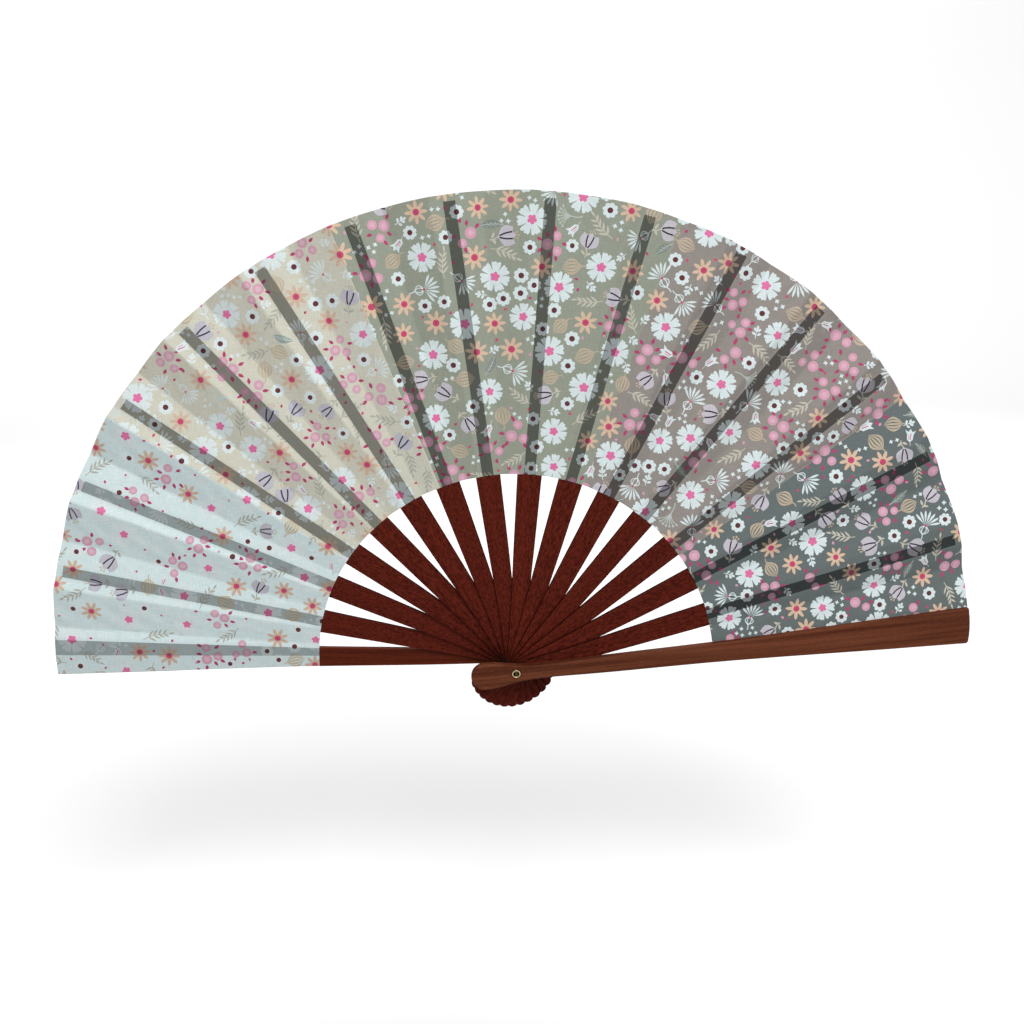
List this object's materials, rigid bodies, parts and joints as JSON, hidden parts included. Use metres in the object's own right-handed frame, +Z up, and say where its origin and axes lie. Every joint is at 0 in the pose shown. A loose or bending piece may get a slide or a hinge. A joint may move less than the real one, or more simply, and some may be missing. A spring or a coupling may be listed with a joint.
{
  "type": "folding hand fan",
  "caption": "Folding hand fan, open: wooden ribs and two guards turning on one hollow rivet, with a pleated printed cloth leaf.",
  "frame": {"origin": "on the rivet's axis, half way through the stack of sticks", "axes": "+Y along the rivet's bore, towards the fan's back; +Z up through the middle of the open fan; +X to the right as seen from the front"},
  "size_m": [0.4184, 0.0226, 0.23],
  "materials": {
    "guard_wood": "satin varnish",
    "rib_wood": "satin varnish",
    "rivet_brass": "polished, slightly tarnished",
    "leaf_cloth": "matt printed cotton"
  },
  "bodies": {
    "rear_guard": {"rear_guard": "guard_wood", "leaf_00": "leaf_cloth", "eyelet": "rivet_brass", "rear_washer": "rivet_brass"},
    "rib_01": {"rib_01": "rib_wood", "leaf_01": "leaf_cloth"},
    "rib_02": {"rib_02": "rib_wood", "leaf_02": "leaf_cloth"},
    "rib_03": {"rib_03": "rib_wood", "leaf_03": "leaf_cloth"},
    "rib_04": {"rib_04": "rib_wood", "leaf_04": "leaf_cloth"},
    "rib_05": {"rib_05": "rib_wood", "leaf_05": "leaf_cloth"},
    "rib_06": {"rib_06": "rib_wood", "leaf_06": "leaf_cloth"},
    "rib_07": {"rib_07": "rib_wood", "leaf_07": "leaf_cloth"},
    "rib_08": {"rib_08": "rib_wood", "leaf_08": "leaf_cloth"},
    "rib_09": {"rib_09": "rib_wood", "leaf_09": "leaf_cloth"},
    "rib_10": {"rib_10": "rib_wood", "leaf_10": "leaf_cloth"},
    "rib_11": {"rib_11": "rib_wood", "leaf_11": "leaf_cloth"},
    "rib_12": {"rib_12": "rib_wood", "leaf_12": "leaf_cloth"},
    "rib_13": {"rib_13": "rib_wood", "leaf_13": "leaf_cloth"},
    "rib_14": {"rib_14": "rib_wood", "leaf_14": "leaf_cloth"},
    "front_guard": {"front_guard": "guard_wood", "leaf_15": "leaf_cloth"}
  },
  "joints": [
    {"name": "rib_01_hinge", "type": "hinge", "parent": "rear_guard", "child": "rib_01", "pos_m": [0, 0, 0], "axis": [0, -1, 0], "range_deg": [0, 11.57]},
    {"name": "rib_02_hinge", "type": "hinge", "parent": "rib_01", "child": "rib_02", "pos_m": [0, 0, 0], "axis": [0, -1, 0], "range_deg": [0, 11.57]},
    {"name": "rib_03_hinge", "type": "hinge", "parent": "rib_02", "child": "rib_03", "pos_m": [0, 0, 0], "axis": [0, -1, 0], "range_deg": [0, 11.57]},
    {"name": "rib_04_hinge", "type": "hinge", "parent": "rib_03", "child": "rib_04", "pos_m": [0, 0, 0], "axis": [0, -1, 0], "range_deg": [0, 11.57]},
    {"name": "rib_05_hinge", "type": "hinge", "parent": "rib_04", "child": "rib_05", "pos_m": [0, 0, 0], "axis": [0, -1, 0], "range_deg": [0, 11.57]},
    {"name": "rib_06_hinge", "type": "hinge", "parent": "rib_05", "child": "rib_06", "pos_m": [0, 0, 0], "axis": [0, -1, 0], "range_deg": [0, 11.57]},
    {"name": "rib_07_hinge", "type": "hinge", "parent": "rib_06", "child": "rib_07", "pos_m": [0, 0, 0], "axis": [0, -1, 0], "range_deg": [0, 11.57]},
    {"name": "rib_08_hinge", "type": "hinge", "parent": "rib_07", "child": "rib_08", "pos_m": [0, 0, 0], "axis": [0, -1, 0], "range_deg": [0, 11.57]},
    {"name": "rib_09_hinge", "type": "hinge", "parent": "rib_08", "child": "rib_09", "pos_m": [0, 0, 0], "axis": [0, -1, 0], "range_deg": [0, 11.57]},
    {"name": "rib_10_hinge", "type": "hinge", "parent": "rib_09", "child": "rib_10", "pos_m": [0, 0, 0], "axis": [0, -1, 0], "range_deg": [0, 11.57]},
    {"name": "rib_11_hinge", "type": "hinge", "parent": "rib_10", "child": "rib_11", "pos_m": [0, 0, 0], "axis": [0, -1, 0], "range_deg": [0, 11.57]},
    {"name": "rib_12_hinge", "type": "hinge", "parent": "rib_11", "child": "rib_12", "pos_m": [0, 0, 0], "axis": [0, -1, 0], "range_deg": [0, 11.57]},
    {"name": "rib_13_hinge", "type": "hinge", "parent": "rib_12", "child": "rib_13", "pos_m": [0, 0, 0], "axis": [0, -1, 0], "range_deg": [0, 11.57]},
    {"name": "rib_14_hinge", "type": "hinge", "parent": "rib_13", "child": "rib_14", "pos_m": [0, 0, 0], "axis": [0, -1, 0], "range_deg": [0, 11.57]},
    {"name": "front_guard_hinge", "type": "hinge", "parent": "rib_14", "child": "front_guard", "pos_m": [0, 0, 0], "axis": [0, -1, 0], "range_deg": [0, 11.57]}
  ],
  "couplings": [
    {"joint": "rib_01_hinge", "follows": "front_guard_hinge", "ratio": 1},
    {"joint": "rib_02_hinge", "follows": "front_guard_hinge", "ratio": 1},
    {"joint": "rib_03_hinge", "follows": "front_guard_hinge", "ratio": 1},
    {"joint": "rib_04_hinge", "follows": "front_guard_hinge", "ratio": 1},
    {"joint": "rib_05_hinge", "follows": "front_guard_hinge", "ratio": 1},
    {"joint": "rib_06_hinge", "follows": "front_guard_hinge", "ratio": 1},
    {"joint": "rib_07_hinge", "follows": "front_guard_hinge", "ratio": 1},
    {"joint": "rib_08_hinge", "follows": "front_guard_hinge", "ratio": 1},
    {"joint": "rib_09_hinge", "follows": "front_guard_hinge", "ratio": 1},
    {"joint": "rib_10_hinge", "follows": "front_guard_hinge", "ratio": 1},
    {"joint": "rib_11_hinge", "follows": "front_guard_hinge", "ratio": 1},
    {"joint": "rib_12_hinge", "follows": "front_guard_hinge", "ratio": 1},
    {"joint": "rib_13_hinge", "follows": "front_guard_hinge", "ratio": 1},
    {"joint": "rib_14_hinge", "follows": "front_guard_hinge", "ratio": 1}
  ]
}
